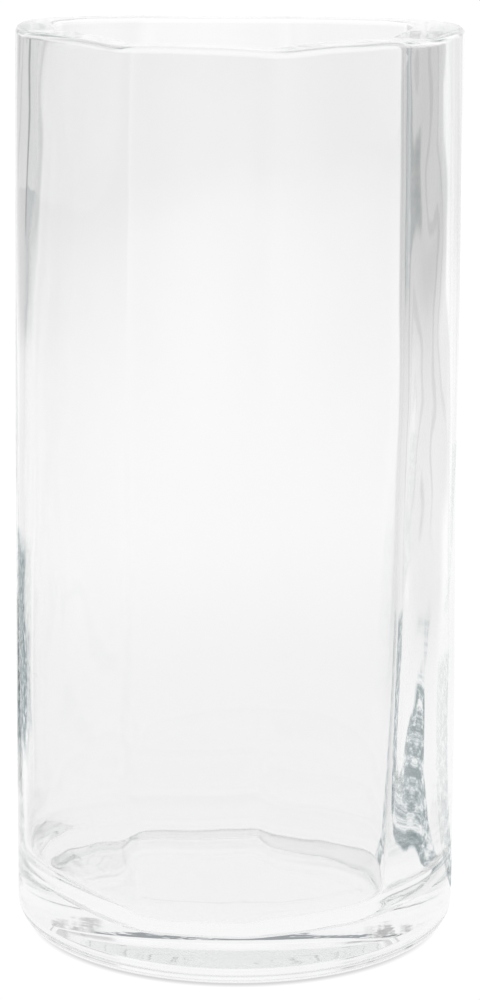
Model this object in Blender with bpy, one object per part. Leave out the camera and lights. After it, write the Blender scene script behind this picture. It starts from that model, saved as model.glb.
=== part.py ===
"""Glass cylinder vase, drawn as the four zones a glassmaker works.

Units are metres and +Z is up.  The vase stands on the ground plane with its
outer axis on the world Z axis.  The real vase is one piece of glass: the
zones are separate solids here, with a hair gap between neighbours, and none
of them moves.
"""

import math

import bmesh
import bpy
from mathutils import Vector

# Driving sizes ---------------------------------------------------------------
OUTER_DIAMETER = 0.100
HEIGHT = 0.2044
SEAM = 0.0003             # gap between neighbouring zones

# Outside
BELLY = 0.0003            # the sides swell by this much at mid height
MOUTH_DRAW_IN = 0.0002    # the mouth is drawn in by this much
HEEL_RADIUS = 0.0055      # rounding between the side and the underside
LIP_RADIUS = 0.0016       # fire-polished rounding of the lip's outer edge
LIP_INNER_RADIUS = 0.0008
RIM_HEIGHT = 0.0060

# Inside
BORE_SHIFT_LOW = -0.0034  # the bore leans: it is this far off centre at the underside,
BORE_SHIFT_TOP = -0.0014  # and this far at the mouth, so +X has the thicker wall
BORE_RADIUS_TOP = 0.0396
BORE_RADIUS_MID = 0.0422
BORE_RADIUS_LOW = 0.0398
FLOOR_THICKNESS = 0.0074
FLOOR_FILLET = 0.0090     # rounding between the bore and the floor
HEEL_ZONE_HEIGHT = 0.0190
BASE_DIAMETER = 0.0560    # the plug of glass in the middle of the base

SEGMENTS = 96
ARC_STEPS = 8
WALL_STEPS = 12

# Looks -----------------------------------------------------------------------
GLASS_TINT = (0.90, 0.93, 0.925, 1.0)
GLASS_DEEP = (0.80, 0.86, 0.85, 1.0)
GLASS_ROUGHNESS = 0.05


def clear_scene():
    for obj in list(bpy.data.objects):
        bpy.data.objects.remove(obj, do_unlink=True)


def make_material(name, colour):
    mat = bpy.data.materials.new(name)
    mat.use_nodes = True
    shader = mat.node_tree.nodes["Principled BSDF"]
    shader.inputs["Base Color"].default_value = colour
    shader.inputs["Roughness"].default_value = GLASS_ROUGHNESS
    shader.inputs["Metallic"].default_value = 0.0
    return mat


def outer_radius(z):
    """Outside radius at height z, above the heel and below the lip."""
    t = z / HEIGHT
    swell = BELLY * math.sin(math.pi * t)
    draw_in = MOUTH_DRAW_IN * t
    return OUTER_DIAMETER / 2 - BELLY + swell - draw_in


def bore_radius(z):
    """Inside radius at height z: a parabola through low, middle and top."""
    t = (z - FLOOR_THICKNESS) / (HEIGHT - FLOOR_THICKNESS)
    low = BORE_RADIUS_LOW * (1 - t) * (1 - 2 * t)
    mid = BORE_RADIUS_MID * 4 * t * (1 - t)
    top = BORE_RADIUS_TOP * t * (2 * t - 1)
    return low + mid + top


def bore_shift(z):
    """How far along X the bore's centre lies at height z."""
    return BORE_SHIFT_LOW + (BORE_SHIFT_TOP - BORE_SHIFT_LOW) * z / HEIGHT


def spread(start, end, steps):
    return [start + (end - start) * i / steps for i in range(steps + 1)]


def arc(centre_r, centre_z, radius, start_deg, end_deg):
    """Points (r, z) of an arc; 0 degrees points outward, 90 upward."""
    points = []
    for angle in spread(math.radians(start_deg), math.radians(end_deg), ARC_STEPS):
        r = centre_r + radius * math.cos(angle)
        z = centre_z + radius * math.sin(angle)
        points.append((r, z))
    return points


def ring_body(name, material, outline):
    """Closed ring from an outline of (r, z, offset_x) walked once round.

    The outline runs up the outside and down the inside, so the faces look
    outward.
    """
    mesh = bpy.data.meshes.new(name)
    bm = bmesh.new()
    rings = []
    for r, z, offset in outline:
        ring = []
        for i in range(SEGMENTS):
            angle = 2 * math.pi * i / SEGMENTS
            x = offset + r * math.cos(angle)
            y = r * math.sin(angle)
            ring.append(bm.verts.new(Vector((x, y, z))))
        rings.append(ring)
    for k, ring in enumerate(rings):
        above = rings[(k + 1) % len(rings)]
        for i in range(SEGMENTS):
            j = (i + 1) % SEGMENTS
            bm.faces.new((ring[i], ring[j], above[j], above[i]))
    return finish_body(name, material, mesh, bm)


def disc_body(name, material, radius, bottom, top):
    """Closed round plug with flat ends, leaning as the bore does."""
    mesh = bpy.data.meshes.new(name)
    bm = bmesh.new()
    low = []
    high = []
    for i in range(SEGMENTS):
        angle = 2 * math.pi * i / SEGMENTS
        x = radius * math.cos(angle)
        y = radius * math.sin(angle)
        low.append(bm.verts.new(Vector((x + bore_shift(bottom), y, bottom))))
        high.append(bm.verts.new(Vector((x + bore_shift(top), y, top))))
    for i in range(SEGMENTS):
        j = (i + 1) % SEGMENTS
        bm.faces.new((low[i], low[j], high[j], high[i]))
    bm.faces.new(list(reversed(low)))
    bm.faces.new(high)
    return finish_body(name, material, mesh, bm)


def finish_body(name, material, mesh, bm):
    bmesh.ops.recalc_face_normals(bm, faces=bm.faces)
    bm.to_mesh(mesh)
    bm.free()
    mesh.materials.append(material)
    body = bpy.data.objects.new(name, mesh)
    bpy.context.scene.collection.objects.link(body)
    for face in mesh.polygons:
        face.use_smooth = True
    return body


def outside(points):
    return [(r, z, 0.0) for r, z in points]


def inside(points):
    return [(r, z, bore_shift(z)) for r, z in points]


def build_rim(material):
    """The fire-polished lip, with both edges rounded over."""
    bottom = HEIGHT - RIM_HEIGHT
    out_r = outer_radius(HEIGHT)
    in_r = bore_radius(HEIGHT)
    lip = arc(out_r - LIP_RADIUS, HEIGHT - LIP_RADIUS, LIP_RADIUS, 0, 90)
    inner = arc(in_r + LIP_INNER_RADIUS, HEIGHT - LIP_INNER_RADIUS, LIP_INNER_RADIUS, 90, 180)
    outline = outside([(outer_radius(bottom), bottom)] + lip)
    outline += inside(inner + [(bore_radius(bottom), bottom)])
    return ring_body("rim", material, outline)


def build_wall(material):
    """The straight side, from the heel up to the lip."""
    heights = spread(HEEL_ZONE_HEIGHT + SEAM, HEIGHT - RIM_HEIGHT - SEAM, WALL_STEPS)
    outline = outside([(outer_radius(z), z) for z in heights])
    outline += inside([(bore_radius(z), z) for z in reversed(heights)])
    return ring_body("wall", material, outline)


def build_heel(material):
    """The heavy lower ring: rounded heel outside, rounded corner inside."""
    side = outer_radius(HEEL_RADIUS)
    heel = arc(side - HEEL_RADIUS, HEEL_RADIUS, HEEL_RADIUS, -90, 0)
    in_r = bore_radius(FLOOR_THICKNESS + FLOOR_FILLET)
    corner = arc(in_r - FLOOR_FILLET, FLOOR_THICKNESS + FLOOR_FILLET, FLOOR_FILLET, 0, -90)
    plug_hole = BASE_DIAMETER / 2 + SEAM
    top = HEEL_ZONE_HEIGHT
    outline = outside(heel + [(outer_radius(top), top)])
    outline += inside([(bore_radius(top), top)] + corner)
    outline += inside([(plug_hole, FLOOR_THICKNESS), (plug_hole, 0.0)])
    return ring_body("heel", material, outline)


def build_base(material):
    """The thick middle of the base: inner floor above, resting face below."""
    radius = BASE_DIAMETER / 2
    return disc_body("base", material, radius, 0.0, FLOOR_THICKNESS)


def main():
    clear_scene()
    build_rim(make_material("rim_glass", GLASS_TINT))
    build_wall(make_material("wall_glass", GLASS_TINT))
    build_heel(make_material("heel_glass", GLASS_DEEP))
    build_base(make_material("base_glass", GLASS_DEEP))


main()
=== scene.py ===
"""Builds the finished look of a heavy clear glass cylinder vase.

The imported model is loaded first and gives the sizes.  The vase is then made
as one closed body of glass by a Geometry Nodes tree, and stands in a plain
white studio.  Units are metres.
"""

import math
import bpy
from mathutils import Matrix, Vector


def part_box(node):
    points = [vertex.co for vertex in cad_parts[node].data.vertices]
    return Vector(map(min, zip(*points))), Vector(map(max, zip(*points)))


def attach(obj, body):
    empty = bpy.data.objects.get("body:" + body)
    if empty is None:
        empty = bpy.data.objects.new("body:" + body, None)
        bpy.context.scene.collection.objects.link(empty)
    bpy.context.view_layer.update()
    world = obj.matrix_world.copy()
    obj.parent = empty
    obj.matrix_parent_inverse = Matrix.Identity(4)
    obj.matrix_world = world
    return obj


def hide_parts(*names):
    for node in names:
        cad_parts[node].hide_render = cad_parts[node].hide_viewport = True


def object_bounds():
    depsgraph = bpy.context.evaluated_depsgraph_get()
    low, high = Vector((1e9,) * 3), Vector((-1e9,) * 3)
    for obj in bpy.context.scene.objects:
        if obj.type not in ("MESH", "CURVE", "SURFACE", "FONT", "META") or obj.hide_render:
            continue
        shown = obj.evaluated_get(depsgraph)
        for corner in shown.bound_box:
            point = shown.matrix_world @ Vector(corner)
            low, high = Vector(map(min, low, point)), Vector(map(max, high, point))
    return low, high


bl_info = {
    "name": "Glass Cylinder Vase",
    "version": (1, 0, 0),
    "blender": (4, 5, 0),
    "location": "3D View > Sidebar > Vase",
    "description": "Makes a heavy clear glass cylinder vase and a plain studio round it",
    "category": "Add Mesh",
}

import bpy
from mathutils import Matrix

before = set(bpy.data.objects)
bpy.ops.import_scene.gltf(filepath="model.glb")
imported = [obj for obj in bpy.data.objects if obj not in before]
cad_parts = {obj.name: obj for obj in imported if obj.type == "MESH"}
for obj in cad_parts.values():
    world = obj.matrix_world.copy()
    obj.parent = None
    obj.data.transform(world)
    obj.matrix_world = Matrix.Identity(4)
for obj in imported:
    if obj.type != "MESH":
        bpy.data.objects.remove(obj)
CAD_LOW, CAD_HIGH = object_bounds()
WALL_LOW, WALL_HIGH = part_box("wall")
BASE_LOW, BASE_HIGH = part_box("base")

# The bore isn't quite round, but has broad flats, most of all at the front and
# the back.  Each flat is (direction at the mouth, direction at the floor,
# distance from the bore's centre as a share of the bore's radius), directions
# in degrees from +X, anticlockwise from above.
BORE_FLATS = (
    (99, 97, 0.955),
    (142, 160, 0.960),
    (218, 228, 0.955),
    (259, 262, 0.960),
    (302, 300, 0.955),
    (347, 345, 0.960),
    (44, 42, 0.950),
)
FLAT_SHARPNESS = 45.0  # how crisply neighbouring flats meet
FLAT_SHARE_ACROSS = 0.1  # share of their depth that the flats keep on the left and right
CORNER_STARTS = 0.965  # the bore's share of its radius from which a corner of two flats counts
CORNER_SPAN = 0.05
CORNER_SINK = 0.0007  # how far the lip dips at a corner

# Mesh of the body.
ROW_SPACING = 0.0014
SEGMENTS = 256
CORNER_POINTS = 10
MERGE_DISTANCE = 0.000002

# Dark uprights round the studio that the thick wall picks up: (direction in
# degrees from straight behind the vase, positive to the right, width in
# degrees, share of light they take, nearest distance at which they show).
SIDE_LINES = (
    (57.0, 1.6, 0.30, 1.0),
    (52.0, 0.9, 0.25, 1.0),
    (44.0, 1.2, 0.25, 0.22),
    (37.5, 0.8, 0.16, 0.30),
    (31.0, 0.8, 0.14, 0.45),
    (-22.0, 1.4, 0.25, 1.5),
    (-28.0, 1.0, 0.25, 1.5),
    (-41.5, 1.6, 0.55, 2.2),
)

# Grey marks in the light round the studio: (direction from, to, elevation
# from, to, share of light they take), angles in degrees.
SKY_SMUDGES = (
    (6.0, 20.0, 20.70, 20.90, 0.45),
    (-52.0, -28.0, 19.95, 20.60, 0.50),
    (28.0, 50.0, 19.9, 20.15, 0.40),
)

# The dark joint between two panels of the studio, which the thick base shows
# as a line: the sine of its elevation, half its height as a sine, and the
# share of light it takes.
JOINT_HEIGHT = math.sin(math.radians(20.2))
JOINT_HALF = 0.0008
JOINT_DARK = 0.62

# Stretches of the studio's sides that are greyer: (direction from, to, soft
# edge in degrees, share of light they take).
RIGHT_SIDE = (24.0, 46.0, 3.0, 0.30)
FAR_RIGHT_SIDE = (49.0, 170.0, 3.0, 0.20)
LEFT_SIDE = (24.0, 170.0, 8.0, 0.26)

# The light of the world and how it falls off.  Elevations are in degrees.
WORLD_LIGHT = 0.99
BEHIND_CAMERA_DARK = 0.55
LOW_DOWN = (5.0, 14.0)  # elevations over which what stands low down ends
LOW_DOWN_GAIN = 0.025
HIGH_UP = (28.0, 40.0)  # elevations over which the light falls again
HIGH_UP_DARK = 0.07
PLEATS_PER_TURN = 20.0
PLEAT_DEPTH = 0.016
SWEEP_TURNS = (7.0, 11.0)  # directions on the left over which the sweep turns greyer
SWEEP_LEFT_DARK = 0.03
SMUDGE_CLOUD = (0.42, 0.60)

# The light of the ground behind and beside the vase.  Distances are in metres.
GROUND_LIGHT = 0.985
POOL_LIGHT = 0.10
POOL_RISES = (0.08, 0.40)
POOL_FADES = (0.5, 2.3)
FAR_LIGHT = 0.035
FAR_RISES = (0.7, 1.5)
NEAR_SIDES = (  # (directions, distances, share of light): ground beside the vase
    ((24.0, 34.0), (0.12, 0.30), 0.18),
    ((60.0, 75.0), (0.06, 0.12), 0.20),
)

# Mottled dark ground, one patch on each side: (direction from, to, degrees by
# which it turns per metre, distance from which that is counted, distance from,
# to, soft edge in metres).
PATCHES = (
    (-54.0, -26.5, -22.0, 0.30, 0.17, 0.39, 0.03),
    (46.0, 61.0, 60.0, 0.23, 0.05, 0.25, 0.02),
)
PATCH_EDGE = 1.5  # degrees
PATCH_MOTTLE = (0.36, 0.58)
PATCH_DARK = 0.68
FAR_PATCH = (44.0, 60.0, 2.0)  # direction from, to and soft edge, on both sides
FAR_PATCH_DISTANCE = (1.2, 1.5)
FAR_PATCH_MOTTLE = (0.35, 0.60)
FAR_PATCH_DARK = 0.12
FAR_PATCH_TONE = 0.4  # how far the far patches take the patches' colour
PATCH_COLOUR = (0.72, 0.90, 0.94, 1.0)
JOINT_COLOUR = (0.90, 0.95, 1.0, 1.0)
WHITE = (1.0, 1.0, 1.0, 1.0)

FLOOR_LIGHT = 1.02
CONTACT_DARK = 0.35  # share of light lost on the floor right under the heel
CONTACT = (0.90, 0.955)  # where that fades, in outer radii of the vase
FLOOR_HEIGHT = -0.0002
TABLE_HEIGHT = -0.0001
HALF_STUDIO = 6.0  # half the width of the floor and the light table

# The camera.  Its distance from the axis and its height over the mouth are in
# outer radii of the vase, and its angles in degrees.
LENS = 116.0
SENSOR_WIDTH = 36.0
CAMERA_SHIFT = -0.22
CAMERA_ASIDE = 0.0003
CAMERA_AWAY = 14.27
CAMERA_ABOVE_MOUTH = 1.064
CAMERA_LOOKS_DOWN = 8.68
CAMERA_ROLL = 0.38
BOUNCES = 96  # light turns many times inside the thick base before it leaves


# Nodes -----------------------------------------------------------------------


class Value:
    """A node's output that can stand in a Python expression."""

    def __init__(self, maker, socket):
        self.maker = maker
        self.socket = socket

    def _math(self, operation, *values):
        return self.maker.node("ShaderNodeMath", {"operation": operation}, values)

    def __add__(self, other):
        return self._math("ADD", self, other)

    def __radd__(self, other):
        return self._math("ADD", other, self)

    def __sub__(self, other):
        return self._math("SUBTRACT", self, other)

    def __rsub__(self, other):
        return self._math("SUBTRACT", other, self)

    def __mul__(self, other):
        return self._math("MULTIPLY", self, other)

    def __rmul__(self, other):
        return self._math("MULTIPLY", other, self)

    def __truediv__(self, other):
        return self._math("DIVIDE", self, other)

    def __pow__(self, other):
        return self._math("POWER", self, other)

    def __mod__(self, other):
        return self._math("FLOORED_MODULO", self, other)

    def __gt__(self, other):
        return self._math("GREATER_THAN", self, other)

    def floor(self):
        return self._math("FLOOR", self)

    def sin(self):
        return self._math("SINE", self)

    def cos(self):
        return self._math("COSINE", self)

    def absolute(self):
        return self._math("ABSOLUTE", self)

    def at_least(self, other):
        return self._math("MAXIMUM", self, other)

    def at_most(self, other):
        return self._math("MINIMUM", self, other)

    def ramp(self, low, high):
        """0 below low, 1 above high, smooth between."""
        return self.maker.node(
            "ShaderNodeMapRange",
            {"interpolation_type": "SMOOTHSTEP"},
            {"Value": self, "From Min": low, "From Max": high},
        )


class NodeMaker:
    """Adds nodes to one tree."""

    COLUMN = 12

    def __init__(self, tree):
        self.tree = tree
        self.count = 0

    def raw(self, kind, settings=None, values=None):
        made = self.tree.nodes.new(kind)
        made.location = (220 * (self.count // self.COLUMN), -190 * (self.count % self.COLUMN))
        self.count += 1
        for name, value in (settings or {}).items():
            setattr(made, name, value)
        if isinstance(values, (tuple, list)):
            values = dict(enumerate(values))
        for key, value in (values or {}).items():
            self.feed(made.inputs[key], value)
        return made

    def node(self, kind, settings=None, values=None, output=0):
        made = self.raw(kind, settings, values)
        return Value(self, made.outputs[output])

    def feed(self, socket, value):
        if isinstance(value, Value):
            self.tree.links.new(value.socket, socket)
        else:
            socket.default_value = value

    def vector(self, x, y, z):
        return self.node("ShaderNodeCombineXYZ", None, {"X": x, "Y": y, "Z": z})

    def parts(self, vector):
        made = self.raw("ShaderNodeSeparateXYZ", None, {"Vector": vector})
        return [Value(self, made.outputs[i]) for i in range(3)]


# Settings --------------------------------------------------------------------


class VaseSettings(bpy.types.PropertyGroup):
    """Sizes and colours of the vase."""

    outer_diameter: bpy.props.FloatProperty(
        name="Outer diameter",
        description="Width of the vase across the outside of the wall",
        default=WALL_HIGH.x - WALL_LOW.x,
        min=0.02,
        unit="LENGTH",
    )
    height: bpy.props.FloatProperty(
        name="Height",
        description="Height from the table to the top of the lip",
        default=CAD_HIGH.z - CAD_LOW.z,
        min=0.04,
        unit="LENGTH",
    )
    belly: bpy.props.FloatProperty(
        name="Belly",
        description="How far the sides swell at mid height",
        default=0.0003,
        unit="LENGTH",
    )
    heel_radius: bpy.props.FloatProperty(
        name="Heel radius",
        description="Rounding between the side and the underside",
        default=0.0055,
        unit="LENGTH",
    )
    lip_outer_radius: bpy.props.FloatProperty(
        name="Lip outer radius",
        description="Fire-polished rounding on the outside of the lip",
        default=0.0016,
        unit="LENGTH",
    )
    lip_inner_radius: bpy.props.FloatProperty(
        name="Lip inner radius",
        description="Fire-polished rounding on the inside of the lip",
        default=0.0008,
        unit="LENGTH",
    )
    bore_diameter: bpy.props.FloatProperty(
        name="Bore diameter",
        description="Width of the bore at the mouth and at the floor",
        default=0.0792,
        unit="LENGTH",
    )
    bore_swell: bpy.props.FloatProperty(
        name="Bore swell",
        description="How far the bore swells at mid height, where the wall is thinner",
        default=0.0024,
        unit="LENGTH",
    )
    bore_shift_low: bpy.props.FloatProperty(
        name="Bore shift at the underside",
        description="How far the bore sits off centre at the bottom, away from the thicker side",
        default=-0.0034,
        unit="LENGTH",
    )
    bore_shift_top: bpy.props.FloatProperty(
        name="Bore shift at the mouth",
        description="How far the bore sits off centre at the mouth",
        default=-0.0014,
        unit="LENGTH",
    )
    floor_thickness: bpy.props.FloatProperty(
        name="Floor thickness",
        description="Solid glass under the bore",
        default=BASE_HIGH.z - BASE_LOW.z,
        unit="LENGTH",
    )
    floor_corner: bpy.props.FloatProperty(
        name="Floor corner",
        description="Rounding between the bore and its floor",
        default=0.0090,
        unit="LENGTH",
    )
    floor_lean: bpy.props.FloatProperty(
        name="Floor lean",
        description="How far the floor of the bore climbs towards its thinner wall",
        default=0.0040,
        unit="LENGTH",
    )
    flat_depth: bpy.props.FloatProperty(
        name="Flat depth",
        description="How strongly the broad flats of the bore show, from round to faceted",
        default=0.80,
        min=0.0,
        max=1.0,
        subtype="FACTOR",
    )
    ripple_depth: bpy.props.FloatProperty(
        name="Ripple depth",
        description="Height of the slow ripples in the bore",
        default=0.00025,
        unit="LENGTH",
    )
    lip_wave: bpy.props.FloatProperty(
        name="Lip wave",
        description="How far the lip rises and falls about its middle height",
        default=0.0008,
        unit="LENGTH",
    )
    tint: bpy.props.FloatVectorProperty(
        name="Tint",
        description="Colour that light takes on its way through the glass",
        default=(0.88, 0.89, 0.89),
        size=3,
        min=0.0,
        max=1.0,
        subtype="COLOR",
    )
    tint_density: bpy.props.FloatProperty(
        name="Tint density",
        description="How quickly the glass colours the light inside it",
        default=2.5,
        min=0.0,
    )
    index_of_refraction: bpy.props.FloatProperty(
        name="Index of refraction",
        description="Bending power of the glass",
        default=1.52,
        min=1.0,
        max=2.0,
    )


# Shape -----------------------------------------------------------------------


def add_input(tree, name, kind, default=None):
    socket = tree.interface.new_socket(name=name, in_out="INPUT", socket_type=kind)
    if default is not None:
        socket.default_value = default
    return socket


def vase_tree(settings):
    """Geometry Nodes tree that turns the vase's outline round its axis.

    The outline is six corners: the middle of the underside, the heel, the
    lip's outer and inner edge, the corner of the bore and the middle of its
    floor.  Its corners are rounded, it is divided into rows, and a grid is
    wrapped round the axis with one row of points for each.
    """
    tree = bpy.data.node_groups.new("vase_body", "GeometryNodeTree")
    sizes = {
        "Outer Radius": settings.outer_diameter / 2,
        "Height": settings.height,
        "Belly": settings.belly,
        "Heel Radius": settings.heel_radius,
        "Lip Outer Radius": settings.lip_outer_radius,
        "Lip Inner Radius": settings.lip_inner_radius,
        "Bore Radius": settings.bore_diameter / 2,
        "Bore Swell": settings.bore_swell,
        "Bore Shift Low": settings.bore_shift_low,
        "Bore Shift Top": settings.bore_shift_top,
        "Floor Thickness": settings.floor_thickness,
        "Floor Corner": settings.floor_corner,
        "Floor Lean": settings.floor_lean,
        "Flat Depth": settings.flat_depth,
        "Ripple Depth": settings.ripple_depth,
        "Lip Wave": settings.lip_wave,
        "Row Spacing": ROW_SPACING,
    }
    for name, value in sizes.items():
        add_input(tree, name, "NodeSocketFloat", value)
    add_input(tree, "Segments", "NodeSocketInt", SEGMENTS)
    add_input(tree, "Material", "NodeSocketMaterial")
    tree.interface.new_socket(name="Geometry", in_out="OUTPUT", socket_type="NodeSocketGeometry")

    maker = NodeMaker(tree)
    group = maker.raw("NodeGroupInput")

    def given(name):
        return Value(maker, group.outputs[name])

    outer = given("Outer Radius")
    height = given("Height")
    bore = given("Bore Radius")
    floor = given("Floor Thickness")
    index = maker.node("GeometryNodeInputIndex")

    # The outline, with rounded corners.
    corners = (
        (0.0, 0.0),
        (outer, 0.0),
        (outer, height),
        (bore, height),
        (bore, floor),
        (0.0, floor),
    )
    rounding = (
        0.0,
        given("Heel Radius"),
        given("Lip Outer Radius"),
        given("Lip Inner Radius"),
        given("Floor Corner"),
        0.0,
    )
    place = maker.raw("GeometryNodeIndexSwitch", {"data_type": "VECTOR"})
    radius = maker.raw("GeometryNodeIndexSwitch", {"data_type": "FLOAT"})
    for switch in (place, radius):
        while len(switch.index_switch_items) < len(corners):
            switch.index_switch_items.new()
        maker.feed(switch.inputs["Index"], index)
    for number, (r, z) in enumerate(corners):
        maker.feed(place.inputs[str(number)], maker.vector(r, 0.0, z))
        maker.feed(radius.inputs[str(number)], rounding[number])
    points = maker.node(
        "GeometryNodePoints",
        None,
        {"Count": len(corners), "Position": Value(maker, place.outputs[0])},
    )
    outline = maker.node("GeometryNodePointsToCurves", None, {"Points": points})
    capture = maker.raw("GeometryNodeCaptureAttribute", None, {"Geometry": outline})
    capture.capture_items.new("FLOAT", "Inside")
    maker.feed(capture.inputs["Inside"], index > 2.5)
    inside_mark = Value(maker, capture.outputs["Inside"])
    rounded = maker.node(
        "GeometryNodeFilletCurve",
        {"mode": "POLY"},
        {
            "Curve": Value(maker, capture.outputs["Geometry"]),
            "Count": CORNER_POINTS,
            "Radius": Value(maker, radius.outputs[0]),
            "Limit Radius": True,
        },
    )
    here = maker.node("GeometryNodeInputPosition")
    after = maker.node(
        "GeometryNodeFieldAtIndex",
        {"data_type": "FLOAT_VECTOR"},
        {"Index": index + 1, "Value": here},
    )
    gap = maker.node("ShaderNodeVectorMath", {"operation": "DISTANCE"}, (here, after), "Value")
    divided = maker.node(
        "GeometryNodeSubdivideCurve",
        None,
        {"Curve": rounded, "Cuts": (gap / given("Row Spacing")).floor()},
    )
    rows = Value(
        maker,
        maker.raw(
            "GeometryNodeAttributeDomainSize", {"component": "CURVE"}, {"Geometry": divided}
        ).outputs["Point Count"],
    )

    # A grid with one row for each point of the outline.
    segments = given("Segments")
    grid = maker.node(
        "GeometryNodeMeshGrid", None, {"Vertices X": segments + 1, "Vertices Y": rows}
    )
    row = index % rows
    turn = (index / rows).floor() / segments * math.tau
    place_on_outline = maker.node(
        "GeometryNodeSampleIndex",
        {"data_type": "FLOAT_VECTOR"},
        {"Geometry": divided, "Value": here, "Index": row},
    )
    inside = maker.node(
        "GeometryNodeSampleIndex",
        {"data_type": "FLOAT"},
        {"Geometry": divided, "Value": inside_mark, "Index": row},
    )
    r, _, z = maker.parts(place_on_outline)
    rise = z / height

    # The broad flats of the bore: a rounded polygon whose sides turn slowly
    # on the way down.
    total = 0.0
    for mouth, bottom, distance in BORE_FLATS:
        direction = math.radians(bottom) + rise * math.radians(mouth - bottom)
        side = (turn - direction).cos().at_least(0.0) / distance
        total = total + side ** FLAT_SHARPNESS
    polygon = total ** (-1.0 / FLAT_SHARPNESS)
    x_round = turn.cos()
    y_round = turn.sin()
    share = FLAT_SHARE_ACROSS + (1 - FLAT_SHARE_ACROSS) * y_round * y_round
    flats = 1 - given("Flat Depth") * share * (1 - polygon)

    # Slow ripples, longer up the vase than round it.
    ripple_place = maker.vector(x_round * 1.6, y_round * 1.6, rise * 3.0)
    ripple = maker.node(
        "ShaderNodeTexNoise",
        {"noise_dimensions": "3D"},
        {"Vector": ripple_place, "Scale": 1.6, "Detail": 1.5, "Roughness": 0.45},
    )
    swell = given("Bore Swell") * (rise * math.pi).sin()
    ripples = (ripple - 0.5) * 2 * given("Ripple Depth")
    bore_shape = flats * (bore + swell) / bore + ripples / bore
    belly = 1 + given("Belly") * ((rise * math.pi).sin() - 1) / outer
    shape = belly + (bore_shape - belly) * inside

    # The lip rises and falls a little, and dips at the front corners of the
    # flats.  Both fade out below the mouth.
    near_lip = rise.ramp(0.80, 1.0)
    wave = (turn * 2).cos() * 0.5 - 0.5
    corner = (polygon - CORNER_STARTS) / CORNER_SPAN
    sink = corner.at_least(0.0).at_most(1.0) * CORNER_SINK * y_round.ramp(0.0, -0.5)
    lift = (wave * 2 * given("Lip Wave") - sink) * near_lip

    # The floor climbs towards the side with the thinner wall.
    lean = (r / bore * x_round * -1.0 - 0.35).ramp(0.0, 0.6)
    lean = lean * given("Floor Lean") * (1 - rise.ramp(0.03, 0.20)) * inside
    radius_here = r * shape
    shift = given("Bore Shift Low") * (1 - rise) + given("Bore Shift Top") * rise
    x = radius_here * x_round + shift * inside
    y = radius_here * y_round
    body = maker.node(
        "GeometryNodeSetPosition",
        None,
        {"Geometry": grid, "Position": maker.vector(x, y, z + lift + lean)},
    )
    closed = maker.node(
        "GeometryNodeMergeByDistance", None, {"Geometry": body, "Distance": MERGE_DISTANCE}
    )
    smooth = maker.node("GeometryNodeSetShadeSmooth", None, {"Geometry": closed})
    real = maker.node("GeometryNodeRealizeInstances", None, {"Geometry": smooth})
    finished = maker.node(
        "GeometryNodeSetMaterial", None, {"Geometry": real, "Material": given("Material")}
    )
    output = maker.raw("NodeGroupOutput", None, {"Geometry": finished})
    output.is_active_output = True
    return tree


def set_input(modifier, tree, name, value):
    """Sets a modifier's input by its socket's identifier."""
    for item in tree.interface.items_tree:
        if item.item_type == "SOCKET" and item.in_out == "INPUT" and item.name == name:
            modifier[item.identifier] = value
            return
    raise RuntimeError("the tree has no input named " + name)


def plain_mesh(carrier, name):
    """The evaluated carrier as a plain mesh object; the carrier is removed."""
    graph = bpy.context.evaluated_depsgraph_get()
    mesh = bpy.data.meshes.new_from_object(carrier.evaluated_get(graph))
    mesh.name = name
    piece = bpy.data.objects.new(name, mesh)
    bpy.context.scene.collection.objects.link(piece)
    bpy.data.objects.remove(carrier, do_unlink=True)
    return piece


# Materials -------------------------------------------------------------------


def empty_material(name):
    """A new material with no nodes, and the maker of its nodes."""
    material = bpy.data.materials.new(name)
    material.use_nodes = True
    material.node_tree.nodes.clear()
    return material, NodeMaker(material.node_tree)


def glass_material(settings):
    """Clear glass with a faint cool tint that deepens with thickness."""
    material, maker = empty_material("clear_glass")
    place = maker.node("ShaderNodeTexCoord", None, None, "Object")
    _, _, rise = maker.parts(place)

    # Fine unevenness of fire-polished glass, drawn out up the vase and weaker
    # close to the underside.
    stretched = maker.node(
        "ShaderNodeMapping", None, {"Vector": place, "Scale": (120.0, 120.0, 40.0)}
    )
    grain = maker.node(
        "ShaderNodeTexNoise", None, {"Vector": stretched, "Scale": 1.0, "Detail": 3.0}
    )
    grain = grain * (0.4 + 0.6 * rise.ramp(0.0, 0.02))
    bump = maker.node(
        "ShaderNodeBump", None, {"Strength": 0.08, "Distance": 0.0001, "Height": grain}
    )
    haze = maker.node("ShaderNodeTexNoise", None, {"Vector": place, "Scale": 30.0, "Detail": 4.0})
    roughness = haze.ramp(0.55, 0.8) * 0.02
    shader = maker.node(
        "ShaderNodeBsdfPrincipled",
        None,
        {
            "Base Color": (0.96, 0.96, 0.96, 1.0),
            "Metallic": 0.0,
            "Roughness": roughness,
            "IOR": settings.index_of_refraction,
            "Transmission Weight": 1.0,
            "Normal": bump,
        },
    )
    tint = maker.node(
        "ShaderNodeVolumeAbsorption",
        None,
        {"Color": (*settings.tint, 1.0), "Density": settings.tint_density},
    )
    maker.raw("ShaderNodeOutputMaterial", None, {"Surface": shader, "Volume": tint})
    return material


def floor_material(radius):
    """White floor that gives its own light, shaded close under the heel."""
    material, maker = empty_material("floor_white")
    place = maker.node("ShaderNodeTexCoord", None, None, "Object")
    x, y, _ = maker.parts(place)
    distance = (x * x + y * y) ** 0.5 / radius
    light = FLOOR_LIGHT - CONTACT_DARK * (1 - distance.ramp(*CONTACT))
    colour = maker.vector(light, light, light)
    glow = maker.node("ShaderNodeEmission", None, {"Color": colour, "Strength": 1.0})
    maker.raw("ShaderNodeOutputMaterial", None, {"Surface": glow})
    return material


def band(value, low, high, soft):
    """1 between low and high, falling to 0 over soft on each side."""
    return value.ramp(low - soft, low) * (1 - value.ramp(high, high + soft))


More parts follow.
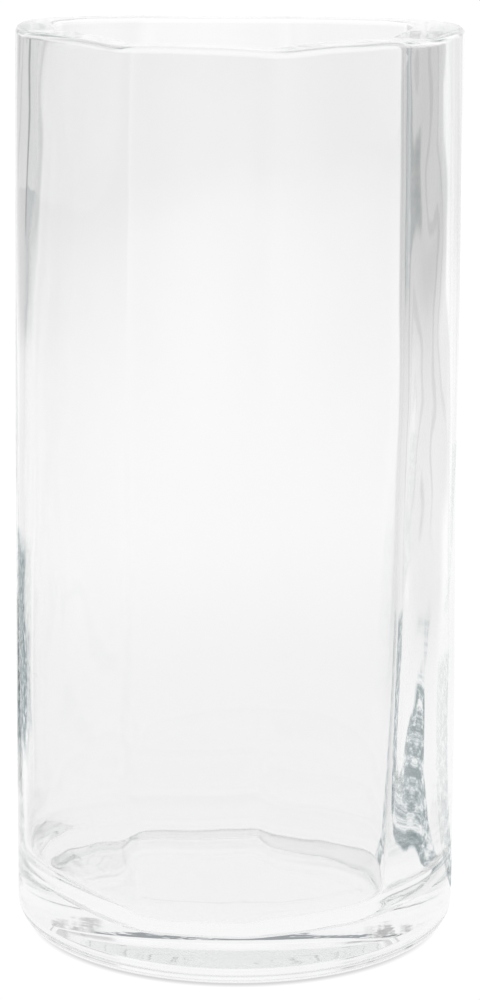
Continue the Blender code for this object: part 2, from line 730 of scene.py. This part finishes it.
def direction_round(maker, across, forward):
    """Degrees from straight behind the vase, positive to the right."""
    angle = maker.node("ShaderNodeMath", {"operation": "ARCTAN2"}, (across, forward))
    return angle * (180 / math.pi)


def side_shade(azimuth, side):
    """Share of light that one greyer stretch of the studio's sides takes."""
    low, high, soft, dark = side
    return band(azimuth, low, high, soft) * dark


def sweep_shade(azimuth, pleating, left):
    """The white sweep's own light: faint broad pleats, greyer to the left."""
    pleats = (azimuth * math.radians(PLEATS_PER_TURN)).cos() * pleating * PLEAT_DEPTH
    return 1 + pleats - (azimuth * -1.0).ramp(*SWEEP_TURNS) * left * SWEEP_LEFT_DARK


def side_lines(azimuth, strength, distance=None):
    """Share of light taken by the narrow uprights at this direction."""
    total = 0.0
    for where, width, dark, nearest in SIDE_LINES:
        line = band(azimuth, where - width / 2, where + width / 2, width) * strength * dark
        if distance is not None:
            line = line * distance.ramp(nearest, nearest * 1.6)
        total = total + line
    return total


def studio_world():
    """White all round and overhead, greyer low down and behind the camera.

    Low down stand the pleated sweep, its greyer sides and the uprights.  Higher
    up are a dark joint between two panels and a few grey marks.
    """
    world = bpy.data.worlds.new("studio")
    world.use_nodes = True
    tree = world.node_tree
    tree.nodes.clear()
    maker = NodeMaker(tree)
    direction = maker.node("ShaderNodeTexCoord", None, None, "Generated")
    across, forward, up = maker.parts(direction)
    azimuth = direction_round(maker, across, forward)
    elevation = maker.node("ShaderNodeMath", {"operation": "ARCSINE"}, (up,)) * (180 / math.pi)

    behind_camera = (1 - forward.ramp(-0.8, 0.1)) * (1 - up.ramp(0.25, 0.7))
    light = WORLD_LIGHT - behind_camera * BEHIND_CAMERA_DARK
    low_down = 1 - elevation.ramp(*LOW_DOWN)
    light = light * (1 + LOW_DOWN_GAIN * low_down) * (1 - HIGH_UP_DARK * elevation.ramp(*HIGH_UP))
    sides = ((azimuth, RIGHT_SIDE), (azimuth, FAR_RIGHT_SIDE), (azimuth * -1.0, LEFT_SIDE))
    for towards, side in sides:
        light = light * (1 - side_shade(towards, side) * low_down)
    light = light * (1 - (1 - sweep_shade(azimuth, 1.0, 1.0)) * low_down)
    light = light * (1 - side_lines(azimuth, low_down))

    joint_edge = JOINT_HALF * 0.6
    joint = band(up, JOINT_HEIGHT - JOINT_HALF, JOINT_HEIGHT + JOINT_HALF, joint_edge)
    joint = joint * forward.ramp(0.2, 0.5)
    light = light * (1 - joint * JOINT_DARK)

    stretched = maker.vector(azimuth * 0.25, elevation * 6.0, 0.0)
    cloud = maker.node(
        "ShaderNodeTexNoise", None, {"Vector": stretched, "Scale": 1.0, "Detail": 4.0}
    )
    for left, right, lowest, highest, dark in SKY_SMUDGES:
        smudge = band(azimuth, left + 2, right - 2, 4.0)
        smudge = smudge * band(elevation, lowest + 0.05, highest - 0.05, 0.1)
        light = light * (1 - smudge * cloud.ramp(*SMUDGE_CLOUD) * dark)
    colour = maker.node(
        "ShaderNodeMix", {"data_type": "RGBA"}, {"Factor": joint, "A": WHITE, "B": JOINT_COLOUR}, 2
    )
    background = maker.node("ShaderNodeBackground", None, {"Color": colour, "Strength": light})
    maker.raw("ShaderNodeOutputWorld", None, {"Surface": background})
    return world


def light_table():
    """The ground as the glass sees it; the camera sees the white floor instead.

    A pool of light lies behind the vase, the ground is greyer to both sides,
    and a mottled dark patch lies off to each side.
    """
    material, maker = empty_material("light_table")
    place = maker.node("ShaderNodeTexCoord", None, None, "Object")
    x, y, _ = maker.parts(place)
    distance = (x * x + y * y) ** 0.5
    azimuth = direction_round(maker, x, y)
    aside = azimuth.absolute()

    # The pool of light, and brighter ground far behind it.
    pool = distance.ramp(*POOL_RISES) * (1 - distance.ramp(*POOL_FADES))
    light = GROUND_LIGHT + POOL_LIGHT * pool + FAR_LIGHT * distance.ramp(*FAR_RISES)
    light = light * sweep_shade(azimuth, distance.ramp(0.2, 1.0), distance.ramp(0.5, 1.8))

    # It is greyer beyond the sides of the white sweep and close beside the vase.
    beyond_right = side_shade(azimuth, RIGHT_SIDE) + side_shade(azimuth, FAR_RIGHT_SIDE)
    beyond_right = beyond_right * distance.ramp(0.25, 1.4)
    beyond_left = side_shade(azimuth * -1.0, LEFT_SIDE) * distance.ramp(0.9, 1.7)
    light = light * (1 - beyond_right - beyond_left)
    for directions, distances, dark in NEAR_SIDES:
        light = light * (1 - aside.ramp(*directions) * distance.ramp(*distances) * dark)

    # Narrow uprights off to the sides draw dark lines down the thick wall.
    light = light * (1 - side_lines(azimuth, 1.0, distance))

    # Mottled dark ground.
    def mottle(scale, roughness):
        values = {"Vector": place, "Scale": scale, "Detail": 5.0, "Roughness": roughness}
        return maker.node("ShaderNodeTexNoise", None, values)

    patch = 0.0
    for low, high, lean, pivot, near, far, soft in PATCHES:
        leaning = azimuth + (distance - pivot) * lean
        patch = patch + band(leaning, low, high, PATCH_EDGE) * band(distance, near, far, soft)
    patch = patch * mottle(90.0, 0.75).ramp(*PATCH_MOTTLE)
    far_patch = band(aside, *FAR_PATCH) * distance.ramp(*FAR_PATCH_DISTANCE)
    far_patch = far_patch * mottle(9.0, 0.7).ramp(*FAR_PATCH_MOTTLE)
    light = light * (1 - patch * PATCH_DARK) * (1 - far_patch * FAR_PATCH_DARK)
    factor = (patch + far_patch * FAR_PATCH_TONE).at_most(1.0)
    tone = maker.node(
        "ShaderNodeMix", {"data_type": "RGBA"}, {"Factor": factor, "A": WHITE, "B": PATCH_COLOUR}, 2
    )
    lit = maker.node(
        "ShaderNodeVectorMath", {"operation": "SCALE"}, {"Vector": tone, "Scale": light}
    )
    glow = maker.node("ShaderNodeEmission", None, {"Color": lit, "Strength": 1.0})
    maker.raw("ShaderNodeOutputMaterial", None, {"Surface": glow})
    table = flat_sheet("light_table", HALF_STUDIO, TABLE_HEIGHT, material)
    table.visible_camera = False
    return table


def flat_sheet(name, half, z, material):
    """A square sheet of the studio, lying level at height z."""
    mesh = bpy.data.meshes.new(name)
    mesh.from_pydata(
        [(-half, -half, z), (half, -half, z), (half, half, z), (-half, half, z)],
        [],
        [(0, 1, 2, 3)],
    )
    mesh.materials.append(material)
    sheet = bpy.data.objects.new(name, mesh)
    return sheet


# Operators -------------------------------------------------------------------


class VASE_OT_glass_body(bpy.types.Operator):
    """Make the vase's one body of glass"""

    bl_idname = "vase.glass_body"
    bl_label = "Glass body"

    def execute(self, context):
        settings = context.scene.vase_settings
        material = glass_material(settings)
        tree = vase_tree(settings)
        carrier = bpy.data.objects.new("vase_carrier", bpy.data.meshes.new("vase_carrier"))
        context.scene.collection.objects.link(carrier)
        modifier = carrier.modifiers.new("vase_body", "NODES")
        modifier.node_group = tree
        set_input(modifier, tree, "Material", material)
        vase = plain_mesh(carrier, "vase_glass")
        if not vase.data.polygons:
            raise RuntimeError("the vase's tree gave no faces")
        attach(vase, "root")
        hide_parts("rim", "wall", "heel", "base")
        return {"FINISHED"}


class VASE_OT_studio(bpy.types.Operator):
    """Set up the floor, the light round the vase and the camera"""

    bl_idname = "vase.studio"
    bl_label = "Studio"

    def execute(self, context):
        settings = context.scene.vase_settings
        scene = context.scene
        radius = settings.outer_diameter / 2

        floor = flat_sheet("floor", HALF_STUDIO, FLOOR_HEIGHT, floor_material(radius))
        floor.visible_transmission = False
        floor.visible_glossy = False
        scene.collection.objects.link(floor)
        scene.collection.objects.link(light_table())

        scene.world = studio_world()

        camera_data = bpy.data.cameras.new("camera")
        camera_data.lens = LENS
        camera_data.sensor_width = SENSOR_WIDTH
        camera_data.shift_y = CAMERA_SHIFT
        camera = bpy.data.objects.new("camera", camera_data)
        mouth_height = settings.height - 2 * settings.lip_wave
        camera.location = (
            CAMERA_ASIDE,
            -CAMERA_AWAY * radius,
            mouth_height + CAMERA_ABOVE_MOUTH * radius,
        )
        pitch = math.radians(90 - CAMERA_LOOKS_DOWN)
        roll = math.radians(CAMERA_ROLL)
        turn = Matrix.Rotation(pitch, 4, "X") @ Matrix.Rotation(roll, 4, "Z")
        camera.rotation_euler = turn.to_euler()
        camera_data.clip_start = 0.01
        scene.collection.objects.link(camera)
        scene.camera = camera

        scene.view_settings.view_transform = "Standard"
        scene.cycles.max_bounces = BOUNCES
        scene.cycles.transmission_bounces = BOUNCES
        scene.cycles.glossy_bounces = BOUNCES
        return {"FINISHED"}


class VASE_PT_panel(bpy.types.Panel):
    """Sizes, colours and build steps of the vase"""

    bl_idname = "VASE_PT_panel"
    bl_label = "Glass Vase"
    bl_space_type = "VIEW_3D"
    bl_region_type = "UI"
    bl_category = "Vase"

    def draw(self, context):
        settings = context.scene.vase_settings
        for name in VaseSettings.__annotations__:
            self.layout.prop(settings, name)
        self.layout.operator(VASE_OT_glass_body.bl_idname)
        self.layout.operator(VASE_OT_studio.bl_idname)


CLASSES = (VaseSettings, VASE_OT_glass_body, VASE_OT_studio, VASE_PT_panel)


def register():
    for cls in CLASSES:
        bpy.utils.register_class(cls)
    bpy.types.Scene.vase_settings = bpy.props.PointerProperty(type=VaseSettings)


def unregister():
    del bpy.types.Scene.vase_settings
    for cls in reversed(CLASSES):
        bpy.utils.unregister_class(cls)


def main():
    register()
    bpy.ops.vase.glass_body()
    bpy.ops.vase.studio()


if __name__ == "__main__":
    main()
